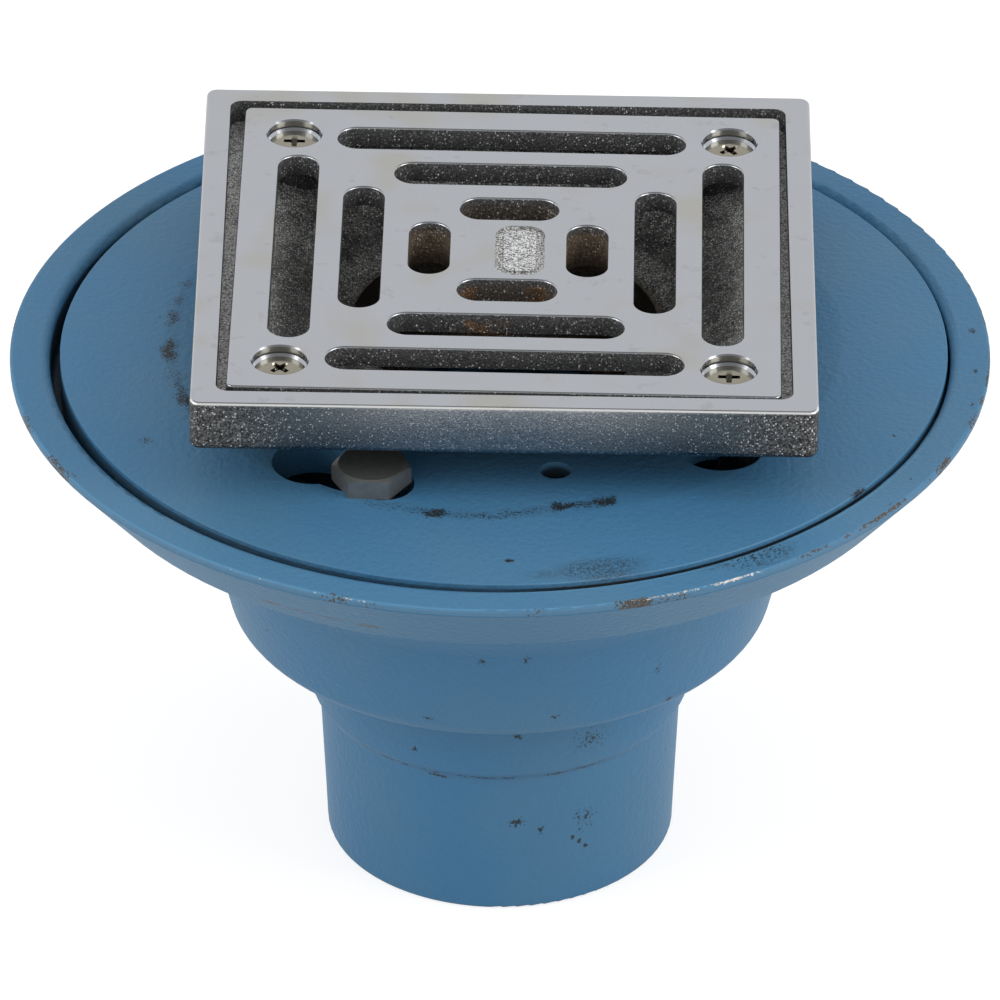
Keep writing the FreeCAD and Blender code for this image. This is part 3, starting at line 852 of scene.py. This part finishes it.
def white_room():
    world = bpy.data.worlds.new("white_room")
    world.use_nodes = True
    tree = world.node_tree

    def ramp(value, ends, results):
        node = tree.nodes.new("ShaderNodeMapRange")
        node.inputs["From Min"].default_value, node.inputs["From Max"].default_value = ends
        node.inputs["To Min"].default_value, node.inputs["To Max"].default_value = results
        tree.links.new(value, node.inputs["Value"])
        return node.outputs["Result"]

    def combine(operation, first, second):
        node = tree.nodes.new("ShaderNodeMath")
        node.operation = operation
        tree.links.new(first, node.inputs[0])
        tree.links.new(second, node.inputs[1])
        return node.outputs[0]

    direction = tree.nodes.new("ShaderNodeTexCoord")
    split = tree.nodes.new("ShaderNodeSeparateXYZ")
    tree.links.new(direction.outputs["Generated"], split.inputs[0])
    height = split.outputs["Z"]
    towards_back = split.outputs["Y"]

    lighting = tree.nodes["Background"]
    lighting.inputs["Color"].default_value = WHITE
    fill = ramp(towards_back, (-1.0, 0.0), (front_fill, 0.0))
    light = combine("ADD", ramp(height, UNIT, (room_low, room_high)), fill)
    tree.links.new(light, lighting.inputs["Strength"])

    backdrop = tree.nodes.new("ShaderNodeBackground")
    backdrop.inputs["Color"].default_value = WHITE
    ceiling = ramp(height, ceiling_starts, (1.0, 1.0 - ceiling_loss))
    low, high = dark_wall_starts
    towards_wall = ramp(towards_back, (-high, -low), (1.0, 0.0))
    wall = combine("MULTIPLY", towards_wall, ramp(height, dark_wall_rises, UNIT))
    wall = ramp(wall, UNIT, (1.0, 1.0 - dark_wall_loss))
    tree.links.new(combine("MULTIPLY", ceiling, wall), backdrop.inputs["Strength"])

    surface = tree.nodes["World Output"].inputs["Surface"]
    tree.links.new(white_seen(tree, lighting, backdrop), surface)
    bpy.context.scene.world = world


def pale_floor():
    mesh = bpy.data.meshes.new("floor")
    corners = [(-floor_half, -floor_half, 0), (floor_half, -floor_half, 0),
               (floor_half, floor_half, 0), (-floor_half, floor_half, 0)]
    mesh.from_pydata(corners, [], [(0, 1, 2, 3)])
    floor = bpy.data.objects.new("floor", mesh)
    bpy.context.scene.collection.objects.link(floor)
    material = bpy.data.materials.new("pale_floor")
    material.use_nodes = True
    tree = material.node_tree
    tree.nodes.remove(tree.nodes["Principled BSDF"])

    def matt(grey):
        node = tree.nodes.new("ShaderNodeBsdfDiffuse")
        node.inputs["Color"].default_value = (grey, grey, grey, 1.0)
        return node

    bounce = matt(floor_albedo)
    glow = tree.nodes.new("ShaderNodeEmission")
    glow.inputs["Strength"].default_value = floor_glow
    seen = tree.nodes.new("ShaderNodeAddShader")
    tree.links.new(matt(floor_shade).outputs[0], seen.inputs[0])
    tree.links.new(glow.outputs[0], seen.inputs[1])
    surface = tree.nodes["Material Output"].inputs["Surface"]
    tree.links.new(white_seen(tree, bounce, seen), surface)
    material.cycles.emission_sampling = "NONE"
    mesh.materials.append(material)


def soft_box(name, place, power):
    light = bpy.data.lights.new(name, "AREA")
    light.shape = "RECTANGLE"
    light.size, light.size_y = box_size
    light.energy = power
    box = bpy.data.objects.new(name, light)
    box.location = place
    aim = [target - here for target, here in zip(box_target, place)]
    tilt = math.atan2(math.hypot(aim[0], aim[1]), -aim[2])
    turn = math.atan2(aim[1], aim[0]) - math.pi / 2
    box.rotation_euler = (tilt, 0.0, turn)
    bpy.context.scene.collection.objects.link(box)


def camera():
    lens = bpy.data.cameras.new("camera")
    lens.lens = camera_lens
    lens.sensor_width = camera_sensor
    lens.clip_end = camera_reach
    eye = bpy.data.objects.new("camera", lens)
    eye.location = camera_place
    eye.rotation_euler = (math.pi / 2 - camera_pitch, 0.0, 0.0)
    bpy.context.scene.collection.objects.link(eye)
    bpy.context.scene.camera = eye


dress("drain_body", body_paint())
dress("clamping_collar", collar_paint())
plating = plated_casting()
dress("strainer_head", plating)
dress("grate", plating)
dress("collar_bolts", bolt_steel())
dress("grate_screws", screw_nickel())

white_room()
pale_floor()
soft_box("right_box", box_place, right_power)
soft_box("left_box", (-box_place[0], *box_place[1:]), left_power)
camera()
bpy.context.scene.view_settings.view_transform = "Standard"
